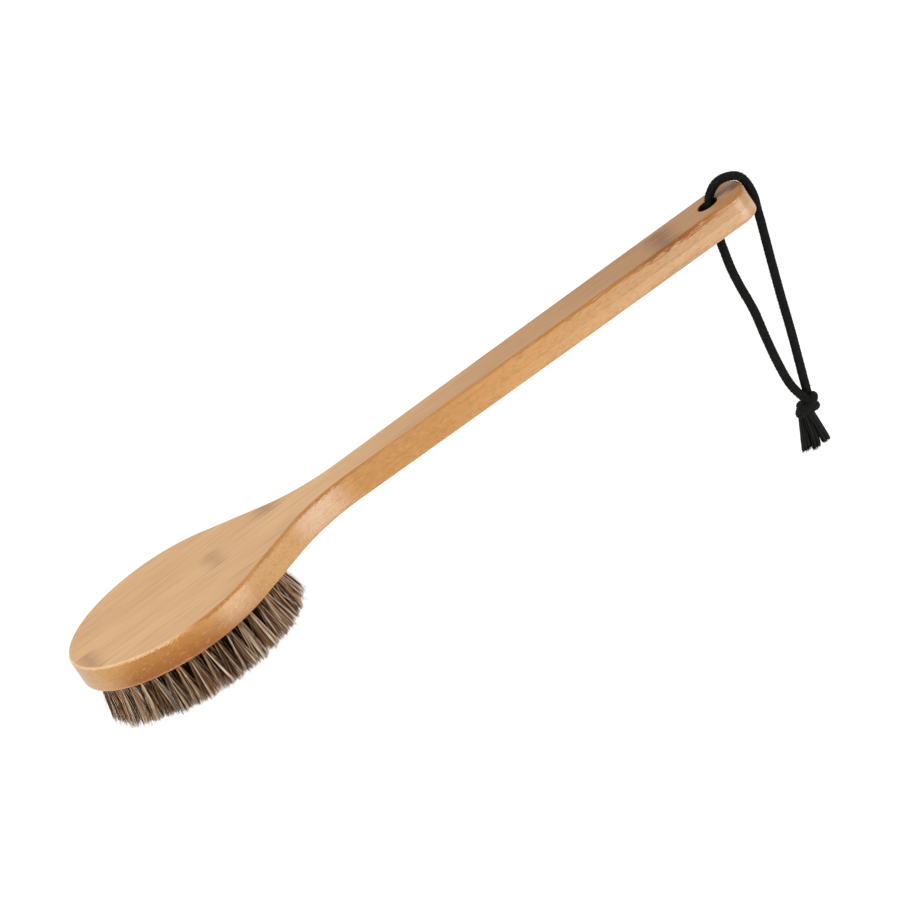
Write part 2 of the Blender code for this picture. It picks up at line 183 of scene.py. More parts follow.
class BoardSettings(bpy.types.PropertyGroup):
    rounding: metres("Edge rounding", "Radius of the boards' outer edges", 1.3 * MM)
    bore_rounding: metres("Hole rounding", "Radius of the hanging hole's rims", 0.5 * MM)
    joint_groove: metres("Glue joint", "Depth of the fine groove where the boards meet", 0.04 * MM)
    strip_width: metres("Strip width", "Width of one bamboo strip in a board", 20 * MM)
    pale: paint("Pale fibres", "the lightest bamboo on the flat faces", "#E2B684")
    honey: paint("Honey fibres", "the darker bamboo on the flat faces", "#D0A06E")
    streak: paint("Streaks", "the fine dark fibres", "#85572C")
    end_shade: paint("Handle's end", "the back at the handle's end", "#925F33")
    knuckle: paint("Knuckles", "the growth joints across a strip", "#704129")
    edge: paint("Cut edge", "the rounded edge, cut across the fibres", "#B0712A")
    # painted highlight on the rounded edge at the head's tip
    edge_painted_highlight: paint("Pale edge", "the same edge at the head's tip", "#E6BE8E")
    # a dark brown laid on the hole's wall
    bore: paint("Hole's wall", "the end grain in the hanging hole", "#37210F")
    tip_side: paint("Tip's side", "the side at the head's tip", "#CCA072")
    neck_side: paint("Neck's side", "the side at the neck", "#D19D61")
    # painted highlight: the pale side where the handle begins
    neck_painted_highlight: paint("Neck's pale side", "the paler side where the handle begins", "#D3A67A")
    handle_neck: paint("Handle by the neck", "the side where the handle begins", "#C38C50")
    # the head's side: the wood's own tone darkened by painted shade, most of all by the hair
    head_upper_tone_and_shade: paint("Head's side above", "the side at the head, by the back", "#BA7C3A")
    head_lower_tone_and_shade: paint("Head's side below", "the side at the head, by the hair", "#9A591C")
    handle_upper: paint("Handle, back board", "the back board's side at the handle", "#CD955A")
    handle_lower: paint("Handle, bristle board", "the other board's side there", "#CF9A60")
    end_upper: paint("End, back board", "the back board's side near the end", "#C2986D")
    end_lower: paint("End, bristle board", "the other board's side near the end", "#CFA47A")


class TuftSettings(bpy.types.PropertyGroup):
    rim_hairs: number("Hairs near the rim", "Hairs in a tuft of the two outer rings", 310)
    inner_hairs: number("Hairs inside", "Hairs in a tuft of the inner rings", 120)
    locks: number("Locks", "Locks of like hairs in a tuft", 130)
    hair_radius: metres("Hair radius", "Half the thickness of a common hair", 0.095 * MM)
    root_radius: metres("Root radius", "Radius of a tuft where it leaves the board", 1.15 * MM)
    tip_radius: metres("Tip radius", "Radius that a tuft splays to at its tips", 4.2 * MM)
    unevenness: metres("Unevenness", "How far the tips stand above or below each other", 1.1 * MM)
    dark: paint("Dark hair", "the darkest hairs", "#20110A")
    brown: paint("Brown hair", "the middling hairs", "#B98251")
    pale: paint("Pale hair", "the lightest hairs", "#FBEFDD")
    chestnut: paint("Chestnut hair", "hairs between dark and brown", "#613B24")
    fawn: paint("Fawn hair", "hairs between brown and pale", "#E2BB90")


class CordSettings(bpy.types.PropertyGroup):
    radius: metres("Cord radius", "Half the thickness of the cord", 1.9 * MM)
    carriers: number("Carriers", "Yarns that turn each way round the cord", 8)
    pitch: metres("Crossing pitch", "Length along the cord from one crossing to the next", 1.7 * MM)
    relief: metres("Relief", "How far a yarn stands out of the braid", 0.3 * MM)
    yarn: paint("Yarn", "the black yarn", "#070706")
    # painted sheen: the lighter colour on the braid's lines and patches and on some loose yarns
    painted_sheen: paint("Raised yarn", "the yarn where it catches the light", "#1D1C1A")
    loose: paint("Loose yarn", "most of the unlaid yarns", "#11100F")


class StageSettings(bpy.types.PropertyGroup):
    distance: metres("Camera distance", "From the camera to the middle of the picture", 7.1)
    field: metres("Field", "Width of the picture at the brush", 0.392)
    floor_depth: metres("Floor depth", "How far the floor lies below the brush", 0.65)
    top_power: watts("Top light", "Power of the large light overhead", 16.5)
    right_power: watts("Right light", "Power of the near, low light", 6.2)
    left_power: watts("Left light", "Power of the far light", 9.5)


class BrushSettings(bpy.types.PropertyGroup):
    boards: PointerProperty(type=BoardSettings)
    tufts: PointerProperty(type=TuftSettings)
    cord: PointerProperty(type=CordSettings)
    stage: PointerProperty(type=StageSettings)


# ---- meshes


def mesh_object(name, points, faces, finish):
    """An object of these points and faces. Faces is a list of whole-number arrays, one row to a face."""
    mesh = bpy.data.meshes.new(name)
    corners = np.concatenate([block.ravel() for block in faces])
    counts = np.concatenate([np.full(len(block), block.shape[1]) for block in faces])
    mesh.vertices.add(len(points))
    mesh.vertices.foreach_set("co", np.asarray(points, np.float32).ravel())
    mesh.loops.add(len(corners))
    mesh.loops.foreach_set("vertex_index", corners.astype(np.int32))
    mesh.polygons.add(len(counts))
    mesh.polygons.foreach_set("loop_start", np.concatenate([[0], np.cumsum(counts)[:-1]]).astype(np.int32))
    mesh.update(calc_edges=True)
    mesh.validate()
    mesh.materials.append(finish)
    return put_in_scene(name, mesh)


def put_in_scene(name, content):
    """An object with this mesh, light or camera."""
    made = bpy.data.objects.new(name, content)
    bpy.context.scene.collection.objects.link(made)
    return made


def add_piece(name, points, faces, finish, slot, nodes, sharp=math.radians(35), **numbers):
    """A finished piece of the brush, which stands for these CAD nodes, if any. Its numbers, one for each point,
    are for its material to read."""
    piece = mesh_object(name, points, faces, finish)
    piece.data.shade_smooth()
    if sharp:
        piece.data.set_sharp_from_angle(angle=sharp)
    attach(piece, "root")
    if nodes:
        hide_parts(*nodes)
    for kind, values in numbers.items():
        attribute = piece.data.attributes.new(kind, "FLOAT", "POINT")
        attribute.data.foreach_set("value", np.asarray(values, np.float32).ravel())
    return piece


def unit(vectors):
    """The same directions, one long."""
    return vectors / np.linalg.norm(vectors, axis=-1)[..., None]


def quads_between(upper, lower):
    """Faces from each ring of point numbers to the one below it, all round."""
    return np.stack([upper, np.roll(upper, -1, -1), np.roll(lower, -1, -1), lower], axis=-1).reshape(-1, 4)


def plan_way(turn):
    """Level directions at these turns from +X, as X and Y."""
    return np.stack([np.cos(turn), np.sin(turn)], axis=-1)


def from_end(places):
    """Places in millimetres from the handle's end and the back face, in the frame's metres."""
    return np.array(places) * MM + (GRIP_FROM_END, 0, BACK_Z)


def neck_fillet(slope):
    """Distance from the handle's end and half width, where the neck's arc has this slope."""
    return NECK_FROM_END + NECK_FILLET * np.sin(slope), NECK_HALF_WIDTH + NECK_FILLET * (1 - np.cos(slope))


def half_outline():
    """Distance from the handle's end and half width, from the end's middle to the head's tip.

    The end is a quarter superellipse, the handle narrows as a parabola, an arc of the neck's fillet turns
    outwards, a straight flank touches both it and the head, and the head is an ellipse.
    """
    power = 2 / END_SQUARENESS
    narrowing = (HANDLE_END_HALF_WIDTH - NECK_HALF_WIDTH) / NECK_FROM_END**2
    turn = np.linspace(0, math.pi / 2, 40)
    end_width = HANDLE_END_HALF_WIDTH - narrowing * END_DEPTH**2
    end_s = END_DEPTH * (1 - np.clip(np.cos(turn), 0, 1) ** power)
    end_w = end_width * np.sin(turn) ** power
    handle_s = np.linspace(END_DEPTH, NECK_FROM_END, 40)[1:]
    handle_w = HANDLE_END_HALF_WIDTH - narrowing * handle_s**2
    head_s = LENGTH - HEAD_HALF_LENGTH
    slopes = np.linspace(0, math.radians(85), 40001)
    fillet_s, fillet_w = neck_fillet(slopes)
    touch = np.arctan2(HEAD_HALF_LENGTH * np.sin(slopes), HEAD_HALF_WIDTH * np.cos(slopes))
    touch_s = head_s - HEAD_HALF_LENGTH * np.sin(touch)
    short = fillet_w + np.tan(slopes) * (touch_s - fillet_s) < HEAD_HALF_WIDTH * np.cos(touch)
    flank = int(np.argmin(short)) - 1
    arc_s, arc_w = neck_fillet(np.linspace(0, slopes[flank], 30)[1:])
    round_turn = np.linspace(-touch[flank], math.pi / 2, 110)
    round_s = head_s + HEAD_HALF_LENGTH * np.sin(round_turn)
    round_w = HEAD_HALF_WIDTH * np.cos(round_turn)
    round_w[-1] = 0
    return np.concatenate([end_s, handle_s, arc_s, round_s]), np.concatenate([end_w, handle_w, arc_w, round_w])


def body_loop():
    """The closed outline anticlockwise from the handle's end, its inward directions, and the head tip's place."""
    s, w = half_outline()
    x = GRIP_FROM_END - s
    loop = np.stack([np.concatenate([x, x[-2:0:-1]]), np.concatenate([w, -w[-2:0:-1]])], axis=1)
    along = np.roll(loop, -1, axis=0) - np.roll(loop, 1, axis=0)
    return loop, unit(np.stack([-along[:, 1], along[:, 0]], axis=1)), len(s) - 1


def circle_loop(centre_x, radius, count):
    """A circle anticlockwise from its +X side, and the directions away from its middle."""
    outward = plan_way(np.linspace(0, math.tau, count, endpoint=False))
    return np.array([centre_x, 0.0]) + radius * outward, outward


def corner(radius, band, steps=7):
    """(inset, depth) from a flat face to an upright wall: a narrow flat band and a quarter circle.

    Where the radius is the joint's groove, the face just turns in by it.
    """
    if radius < 0.2 * MM:
        return np.array([(radius, 0), (0, radius)])
    turns = np.linspace(0, math.pi / 2, steps)
    rounded = radius * np.stack([1 - np.sin(turns), 1 - np.cos(turns)], axis=1)
    return np.concatenate([[(radius + band, 0)], rounded])


def edge_profile(top, bottom, radii, band):
    """(inset, height) of a board's edge from its upper face to its lower one."""
    upper, lower = (corner(radius, band) for radius in radii)
    return np.concatenate([upper * (1, -1) + (0, top), lower[::-1] + (0, bottom)])


def wall(loop, inward, profile, first, facing_in):
    """A profile of (inset, height) carried round a closed loop. Each point is the loop's, moved in by the inset."""
    rings, count = len(profile), len(loop)
    plan = loop[None] + inward[None] * profile[:, 0][:, None, None]
    heights = np.broadcast_to(profile[:, 1][:, None, None], (rings, count, 1))
    points = np.concatenate([plan, heights], axis=2).reshape(-1, 3)
    index = first + np.arange(rings * count).reshape(rings, count)
    quads = quads_between(index[:-1], index[1:])
    return points, quads if facing_in else quads[:, ::-1], index


def plate_halves(outer, tip, holes, upwards):
    """Two flat faces that meet on the brush's middle line and go round the holes, listed from the head."""
    far, near = [*outer[: tip + 1]], [*outer[tip:], outer[0]]
    for hole in holes:
        far += [*hole[len(hole) // 2 :: -1]]
    for hole in reversed(holes):
        near += [hole[0], *hole[: len(hole) // 2 - 1 : -1]]
    return [np.array([half if upwards else half[::-1]]) for half in (far, near)]


def board_surface(top, bottom, settings, wire_space):
    """A closed board: rounded edge, flat faces, the hanging hole and, in one board, the space for the wires."""
    outside = (top == BACK_Z, bottom == FACE_Z)
    edge = [settings.rounding if out else settings.joint_groove for out in outside]
    rims = [settings.bore_rounding if out else 0.05 * MM for out in outside]
    loop, inward, tip = body_loop()
    points, quads, index = wall(loop, inward, edge_profile(top, bottom, edge, 0.45 * MM), 0, False)
    circle, outward = circle_loop(HOLE_X, HOLE_RADIUS, 64)
    profile = edge_profile(top, bottom, rims, 0.2 * MM)
    bore_points, bore_quads, bore = wall(circle, outward, profile, len(points), True)
    points = np.concatenate([points, bore_points])
    faces = [quads, bore_quads]
    top_holes = [bore[0]]
    if wire_space:
        circle, outward = circle_loop(HEAD_X, FIELD_RADIUS, 96)
        profile = np.array([(0, top), (0, top - WIRE_SPACE_DEPTH)])
        space_points, space_quads, space = wall(circle, outward, profile, len(points), True)
        points = np.concatenate([points, space_points])
        faces += [space_quads, space[-1][None]]
        top_holes = [space[0], bore[0]]
    faces += plate_halves(index[0], tip, top_holes, True)
    faces += plate_halves(index[-1], tip, [bore[-1]], False)
    return points, faces


def smooth_route(route, reads=10):
    """Points of a smooth curve through the route's own, in metres: a cubic whose reach is the chord's root."""
    given = from_end(route)
    chain = np.concatenate([[2 * given[0] - given[1]], given, [2 * given[-1] - given[-2]]])
    a, b, c, d = (chain[i : len(chain) - 3 + i, None] for i in range(4))
    t1, t2, t3 = (np.sqrt(np.linalg.norm(q - p, axis=2, keepdims=True)) for p, q in ((a, b), (b, c), (c, d)))
    t2 = t1 + t2
    t3 = t2 + t3
    t = t1 + (t2 - t1) * np.linspace(0, 1, reads, endpoint=False)[None, :, None]

    def between(start, end, leaves, arrives):
        return start + (end - start) * (t - leaves) / (arrives - leaves)

    ab, bc, cd = between(a, b, 0, t1), between(b, c, t1, t2), between(c, d, t2, t3)
    curve = between(between(ab, bc, 0, t2), between(bc, cd, t1, t3), t1, t2)
    return np.concatenate([curve.reshape(-1, 3), given[-1:]])


def evenly(points, step):
    """The same line read at equal steps along its length, and the lengths there."""
    lengths = np.concatenate([[0], np.cumsum(np.linalg.norm(np.diff(points, axis=0), axis=1))])
    reads = np.linspace(0, lengths[-1], max(int(round(lengths[-1] / step)), 2) + 1)
    return np.stack([np.interp(reads, lengths, points[:, i]) for i in range(3)], axis=1), reads


def braid_height(turn, length, settings):
    """How far the braid's surface stands out at a turn and a length, from 0 to 1.

    Yarns of one hand run along constant turn minus length, those of the other hand along turn plus
    length. They pass over each other in turn, and each is a half wave across and along its own cell.
    """
    around = settings.carriers * turn / math.tau
    across = around - length / settings.pitch
    along = around + length / settings.pitch
    over = (np.floor(across) + np.floor(along)) % 2 > 0.5
    wide = np.where(over, across, along) % 1
    far = np.where(over, along, across) % 1
    return np.sqrt(np.clip(np.sin(math.pi * wide), 0, 1)) * (0.5 + 0.5 * np.sin(math.pi * far))


def braided_tube(line, reference, settings, first, closed=False, sides=40, step=0.34 * MM):
    """A braided cord round a line: a circle at each step, moved out and in by the braid's height.

    Returns its points, faces, and two numbers a point, round and along, for the material. The circles'
    first direction is the reference, made square to the line, so they never twist.
    """
    centre, lengths = evenly(line, step)
    if closed:
        cells = max(int(round(lengths[-1] / settings.pitch / 2)) * 2, 2)
        centre, lengths = centre[:-1], lengths[:-1] * (cells * settings.pitch / lengths[-1])
        ahead = np.roll(centre, -1, axis=0) - np.roll(centre, 1, axis=0)
    else:
        ahead = np.gradient(centre, axis=0)
    ahead = unit(ahead)
    side = unit(np.array(reference) - (ahead @ np.array(reference))[:, None] * ahead)
    up = np.cross(ahead, side)
    turn = np.linspace(0, math.tau, sides, endpoint=False)[None, :]
    height = braid_height(turn, lengths[:, None], settings)
    radius = (settings.radius + settings.relief * (height - 0.4))[..., None]
    ring = np.cos(turn)[..., None] * side[:, None] + np.sin(turn)[..., None] * up[:, None]
    points = (centre[:, None] + radius * ring).reshape(-1, 3)
    index = first + np.arange(len(points)).reshape(-1, sides)
    near = index if closed else index[:-1]
    far = np.roll(index, -1, 0) if closed else index[1:]
    faces = [quads_between(near, far)]
    if not closed:
        faces += [index[0][None, ::-1], index[-1][None]]
    around = np.broadcast_to(turn * settings.carriers / math.tau, height.shape)
    along = np.broadcast_to(lengths[:, None] / settings.pitch, height.shape)
    return points, faces, around.ravel(), along.ravel(), centre


def strands(stations, radii, sides=3, first=0, frames=None):
    """Thin closed strands. Stations is strand by station by place, radii is strand by station.

    Each strand is a prism of few sides round its stations, with flat ends. Its sections lie level, or in
    the two directions that frames gives for each strand.
    """
    count, reads = stations.shape[:2]
    circle = plan_way(np.linspace(0, math.tau, sides, endpoint=False))
    section = circle @ (np.eye(3)[None, :2] if frames is None else frames)
    points = stations[:, :, None] + radii[:, :, None, None] * section[:, None]
    index = first + np.arange(count * reads * sides).reshape(count, reads, sides)
    quads = np.roll(quads_between(index[:, 1:], index[:, :-1]), 1, axis=1)
    return points.reshape(-1, 3), [quads, index[:, 0], index[:, -1, ::-1]]


# ---- materials


def set_inputs(node, inputs):
    """Values into a node's inputs, by name or else in order. A socket, or a node's first output, is linked."""
    if isinstance(inputs, dict):
        pairs = [(node.inputs[name], value) for name, value in inputs.items()]
    else:
        pairs = list(zip([socket for socket in node.inputs if socket.enabled], inputs))
    for socket, value in pairs:
        if isinstance(value, bpy.types.Node):
            value = next(output for output in value.outputs if output.enabled)
        if isinstance(value, bpy.types.NodeSocket):
            node.id_data.links.new(value, socket)
        else:
            socket.default_value = (*value, 1) if socket.type == "RGBA" else value


def add_node(tree, kind, inputs=(), stops=(), **settings):
    """A shader node with its settings, its inputs and, for a ramp, its stops of place and colour. The kind of a
    mathematical node is followed by a dot and its operation."""
    kind, *operation = kind.split(".")
    node = tree.nodes.new("ShaderNode" + kind)
    for name, value in [*settings.items(), *(("operation", what) for what in operation)]:
        setattr(node, name, value)
    set_inputs(node, inputs)
    if stops:
        elements = node.color_ramp.elements
        while len(elements) < len(stops):
            elements.new(1)
        for element, (place, colour) in zip(elements, stops):
            element.position = place
            element.color = (*colour, 1)
    return node


def laid_over(add, colour, layers):
    """A colour with tints laid over it. Each layer is a value, the value that leaves the colour bare, the one
    that tints it most, how much that is, and the tint."""
    for value, bare, full, most, tint in layers:
        share = add("MapRange", [value, bare, full, 0, most])
        colour = add("Mix", [share, colour, tint], data_type="RGBA")
    return colour


def new_material(name):
    """An empty material, the function that adds nodes to it, and its shader."""
    made = bpy.data.materials.new(name)
    made.use_nodes = True
    return made, partial(add_node, made.node_tree), made.node_tree.nodes["Principled BSDF"]


# Growth joints of the bamboo, seen on the back as stains: middle and half size in millimetres, strength
KNUCKLES = [
    ((-173, 2), (8, 10), 0.3),
    ((-141, 15), (10, 6), 0.35),
    ((-244, -13), (8, 12), 0.4),
    ((67, -2), (11, 11), 0.62),
    ((101, 5), (9, 6), 0.5),
    ((106, -1), (5, 3), 0.9),
]

# Patterns in the bamboo: whether they follow the fibres, length and width in millimetres, detail, distortion
PATTERNS = {
    "fine": (True, 35, 0.35, 3, 0),
    "tick": (True, 32, 1.6, 3, 0),
    "broad": (True, 90, 3, 2, 0),
    "cloud": (False, 50, 25, 2, 0),
    "drawn": (True, 14, 0.6, 3, 0),
    "fringe": (True, 7, 0.45, 3, 0),
    "curl": (True, 3.2, 1.3, 3, 0.9),
    "dash": (True, 3, 0.35, 1, 0),
}

# The band on the rounded edge, by place from the head's tip (0) to the handle's end (1). Its depth is this share
# of the fringe pattern times the spread, less the loss. Its tint is given where it isn't the edge's own.
EDGE_DEPTHS = [
    (0, 0.25), (0.14, 0.5), (0.38, 0.6), (0.44, 0.15), (0.6, 0.2), (0.7, 0.4), (0.82, 0.6), (0.88, 1), (1, 0.85),
]
EDGE_END_TINTS = [(0.88, "#874606"), (0.92, "#98540A"), (0.965, "#A8661C")]
EDGE_SPREAD = 12 * MM
EDGE_LOSS = 4.1 * MM


def lacquered_bamboo(name, settings, upper):
    """Bamboo strips glued edge to edge, sanded and lacquered satin.

    Long fibres give fine lines along X, growth joints give brown stains that end at a strip's edges, curly
    fibres mottle the sides, the rounded edge shows a ragged orange band, and the hole's wall is darkened.
    """
    made, add, shader = new_material(name)
    place = add("TexCoord").outputs["Object"]
    x, y, z = add("SeparateXYZ", [place]).outputs
    facing = add("SeparateXYZ", [add("NewGeometry").outputs["Normal"]])
    level = add("Math.ABSOLUTE", [facing.outputs["Z"]])
    # from 0 at the head's tip to 1 at the handle's end
    station = add("MapRange", [x, GRIP_FROM_END - LENGTH, GRIP_FROM_END])

    # fibres wander by about a millimetre over some 80 mm
    slow = add("Mapping", {"Vector": place, "Scale": (1 / 0.08, 1 / 0.03, 1 / 0.03)})
    wander = add("TexNoise", {"Vector": slow, "Scale": 1, "Detail": 1}).outputs["Color"]
    shift = add("VectorMath.SUBTRACT", [wander, (0.5, 0.5, 0.5)])
    bent = add("VectorMath.MULTIPLY_ADD", [shift, (0, 0.0022, 0.0012), place])

    # each strip has its own tone and its own stretch of the patterns
    strip = add("Math.ADD", [y, 9 * MM if upper else 1 * MM])
    strip = add("Math.DIVIDE", [strip, settings.strip_width])
    strip = add("Math.FLOOR", [strip])
    strip_tone = add("TexWhiteNoise", {"W": strip}, noise_dimensions="1D")
    moved = add("CombineXYZ", [strip_tone])
    fibre = add("VectorMath.ADD", [bent, moved])
    pattern = {}
    for kind, (follows, long, wide, detail, distortion) in PATTERNS.items():
        scale = (1 / (long * MM), 1 / (wide * MM), 1 / (wide * MM))
        at = add("Mapping", {"Vector": fibre if follows else place, "Scale": scale})
        inputs = {"Vector": at, "Scale": 1, "Detail": detail, "Distortion": distortion}
        pattern[kind] = add("TexNoise", inputs)

    # flat faces: honey to pale by clouds, strips and broad streaks, then fine lines, ticks and a darker handle's
    # end, where the back also takes the edge's colour, in strokes, along its near side
    mixed = add("Math.MULTIPLY_ADD", [pattern["broad"], 0.25, pattern["cloud"]])
    mixed = add("Math.MULTIPLY_ADD", [strip_tone, 0.2, mixed])
    layers = [
        (mixed, 0.4, 1.05, 1, settings.pale),
        (pattern["fine"], 0.55, 0.7, 0.42, settings.streak),
        (pattern["tick"], 0.6, 0.65, 0.24, settings.streak),
        (station, 0.36, 0.86, 0.6, settings.end_shade),
    ]
    if upper:
        near = add("MapRange", [y, -8.5 * MM, -12.4 * MM])
        frayed = add("Math.MULTIPLY_ADD", [pattern["drawn"], 1.6, near])
        late = add("MapRange", [station, 0.67, 0.75])
        flank = add("Math.MULTIPLY", [frayed, late])
        layers.append((flank, 1.45, 1.9, 0.9, settings.edge))
    face = laid_over(add, settings.honey, layers)

    # knuckles: stains drawn out along the fibres, that end at their strip's edges
    for (mid_x, mid_y), (half_x, half_y), strength in KNUCKLES if upper else []:
        scale = (1 / (half_x * MM), 1 / (half_y * MM), 0)
        location = (-mid_x / half_x, -mid_y / half_y, 0)
        at = add("Mapping", {"Vector": place, "Scale": scale, "Location": location})
        away = add("VectorMath.ABSOLUTE", [at])
        along, across, _ = add("SeparateXYZ", [away]).outputs
        ragged = add("Math.MULTIPLY_ADD", [pattern["drawn"], 2.4, along])
        stain = add("MapRange", [ragged, 2.15, 1.15, 0, strength], interpolation_type="SMOOTHSTEP")
        within = add("MapRange", [across, 1.1, 0.9])
        share = add("Math.MULTIPLY", [stain, within])
        face = add("Mix", [share, face, settings.knuckle], data_type="RGBA")

    # sides: at the head one tone by the back turns into another by the hair, on the handle each board has its own
    kind = "upper" if upper else "lower"
    neck, glow, root = settings.neck_side, settings.neck_painted_highlight, settings.handle_neck
    handle, end = getattr(settings, "handle_" + kind), getattr(settings, "end_" + kind)
    tones = []
    # painted shade: the head's tones are darker than the wood's own, the lower one most
    for head, begins, full, fades, gone in (
        (settings.head_upper_tone_and_shade, 0.02, 0.06, 0.12, 0.19),
        (settings.head_lower_tone_and_shade, 0.015, 0.045, 0.14, 0.26),
    ):
        stops = [(0, settings.tip_side), (begins, neck), (full, head), (fades, head), (gone, neck), (0.3, neck)]
        # painted highlight: the pale stretch from 0.34 to 0.38, where the handle begins
        stops += [(0.34, glow), (0.38, glow), (0.405, root), (0.53, root), (0.64, handle), (0.9, end)]
        tones.append(add("ValToRGB", [station], stops))
    layers = [
        (z, 4 * MM, -4.5 * MM, 1, tones[1]),
        (pattern["curl"], 0.52, 0.7, 0.22, settings.streak),
        (pattern["curl"], 0.44, 0.3, 0.24, settings.pale),
        (pattern["fine"], 0.56, 0.7, 0.25, settings.streak),
        (pattern["dash"], 0.62, 0.76, 0.4, settings.streak),
    ]
    side = laid_over(add, tones[0], layers)

    # sides where the surface stands upright, faces where it lies level
    lying = add("MapRange", [level, 0.8, 0.97], interpolation_type="SMOOTHSTEP")
    colour = add("Mix", [lying, side, face], data_type="RGBA")

    # the rounded edge: a ragged band, about 2 mm deep near the handle's end and 0.3 to 1.1 mm elsewhere
    width = add("ValToRGB", [station], [(at, (share,) * 3) for at, share in EDGE_DEPTHS])
    lobed = add("Math.MULTIPLY_ADD", [pattern["fringe"], EDGE_SPREAD, -EDGE_LOSS])
    reach = add("Math.MULTIPLY", [width, lobed])
    height = add("Math.ABSOLUTE", [z])
    drop = add("Math.SUBTRACT", [BACK_Z, height])
    past = add("Math.SUBTRACT", [drop, reach])
    ended = add("MapRange", [past, 0.45 * MM, 0])
    begun = add("MapRange", [level, 0.998, 0.96])
    band = add("Math.MULTIPLY", [begun, ended])
    most = 0.95 if upper else 0.3
    clouded = add("MapRange", [pattern["cloud"], 0.35, 0.55, 0.6 * most, most])
    share = add("Math.MULTIPLY", [band, clouded])
    # near the head's tip the band turns pale: a painted highlight
    stops = [(0.1, settings.edge_painted_highlight), (0.15, settings.edge), (0.8, settings.edge)]
    tint = add("ValToRGB", [station], stops + [(at, linear(code)) for at, code in EDGE_END_TINTS])
    colour = add("Mix", [share, colour, tint], data_type="RGBA")

    # the hole's wall: near the hole's axis the colour turns dark brown
    from_hole = add("Mapping", {"Vector": place, "Location": (-HOLE_X, 0, 0), "Scale": (1, 1, 0)})
    away = add("VectorMath.LENGTH", [from_hole])
    colour = laid_over(add, colour, [(away, HOLE_RADIUS + 0.3 * MM, HOLE_RADIUS + 0.05 * MM, 1, settings.bore)])

    # satin lacquer over fibres that can be felt, rubbed duller on the flat faces than on the sides
    finish = {
        "Base Color": colour,
        "Roughness": add("MapRange", [pattern["fine"], 0.3, 0.7, 0.42, 0.55]),
        "Coat Weight": add("MapRange", [lying, 0, 1, 0.5, 0.15]),
        "Coat Roughness": 0.25,
        "Specular IOR Level": 0.12,
        "Normal": add("Bump", {"Height": pattern["fine"], "Strength": 0.2, "Distance": 0.05 * MM}),
    }
    set_inputs(shader, finish)
    return made


def natural_hair(settings):
    """Undyed horsehair, sorted dark and pale and mixed: each hair one tone, darker to its root by painted shade and
    paler to its tip, with a soft sheen.
    """
    made, add, shader = new_material("natural horsehair")
    tone = add("Attribute", attribute_name="tone").outputs["Fac"]
    tones = (settings.dark, settings.chestnut, settings.brown, settings.fawn, settings.pale)
    ramp = add("ValToRGB", [tone], list(zip((0, 0.3, 0.55, 0.8, 1), tones)))
    set_inputs(shader, {"Base Color": ramp, "Roughness": 0.6, "Specular IOR Level": 0.2})
    return made


def braided_polyester(settings):
    """Matt black polyester yarn, braided over and under: fine filaments run along each yarn of the braid, and a
    painted sheen lightens those lines and some patches.
    """
    made, add, shader = new_material("braided polyester cord")
    around, along = (add("Attribute", attribute_name=name).outputs["Fac"] for name in ("around", "along"))
    left = add("Math.SUBTRACT", [around, along])
    right = add("Math.ADD", [around, along])
    cells = [add("Math.FLOOR", [across]) for across in (left, right)]
    cell = add("Math.ADD", cells)
    over = add("Math.FLOORED_MODULO", [cell, 2])
    across = add("Mix", [over, right, left])
    # six filament lines show in a yarn of 1.5 mm: real ones are some 30 and much finer
    lines = add("Math.MULTIPLY", [across, math.tau * 6])
    ridge = add("Math.SINE", [lines])
    place = add("TexCoord").outputs["Object"]
    sheen_patches = add("TexNoise", {"Vector": place, "Scale": 900, "Detail": 2})
    # painted sheen: filament lines and noise patches lighten the yarn
    mixed = add("Math.MULTIPLY_ADD", [ridge, 0.08, sheen_patches])
    finish = {
        "Base Color": laid_over(add, settings.yarn, [(mixed, 0.45, 0.75, 1, settings.painted_sheen)]),
        "Normal": add("Bump", {"Height": ridge, "Strength": 0.5, "Distance": 0.05 * MM}),
        "Roughness": 0.75,
        "Specular IOR Level": 0.12,
    }
    set_inputs(shader, finish)
    return made


def unlaid_yarn(settings):
    """The same black polyester where it frays: loose filaments that catch a little more light."""
    made, add, shader = new_material("unlaid polyester yarn")
    tone = add("Attribute", attribute_name="tone").outputs["Fac"]
    stops = [(0, settings.yarn), (0.8, settings.loose), (1, settings.painted_sheen)]
    ramp = add("ValToRGB", [tone], stops)
    set_inputs(shader, {"Base Color": ramp, "Roughness": 0.6, "Specular IOR Level": 0.12})
    return made


def galvanised_wire():
    """Drawn steel wire, hot-dip galvanised: dull zinc with small spangles of about a millimetre."""
    made, add, shader = new_material("galvanised steel wire")
    place = add("TexCoord").outputs["Object"]
    spangle = add("TexVoronoi", {"Vector": place, "Scale": 900})
    tone = add("ValToRGB", [spangle], [(0, linear("#B9BABA")), (1, linear("#8E9092"))])
    drawn = add("TexNoise", {"Vector": place, "Scale": 2500})
    rough = add("MapRange", [drawn, 0, 1, 0.3, 0.5])
    set_inputs(shader, {"Base Color": tone, "Roughness": rough, "Metallic": 1})
    return made


def shows_white(add):
    """1 for the rays that show the surroundings, directly, mirrored or through glass, and 0 for all others."""
    rays = add("LightPath").outputs
    seen = add("Math.MAXIMUM", [rays["Is Camera Ray"], rays["Is Glossy Ray"]])
    return add("Math.MAXIMUM", [seen, rays["Is Transmission Ray"]])


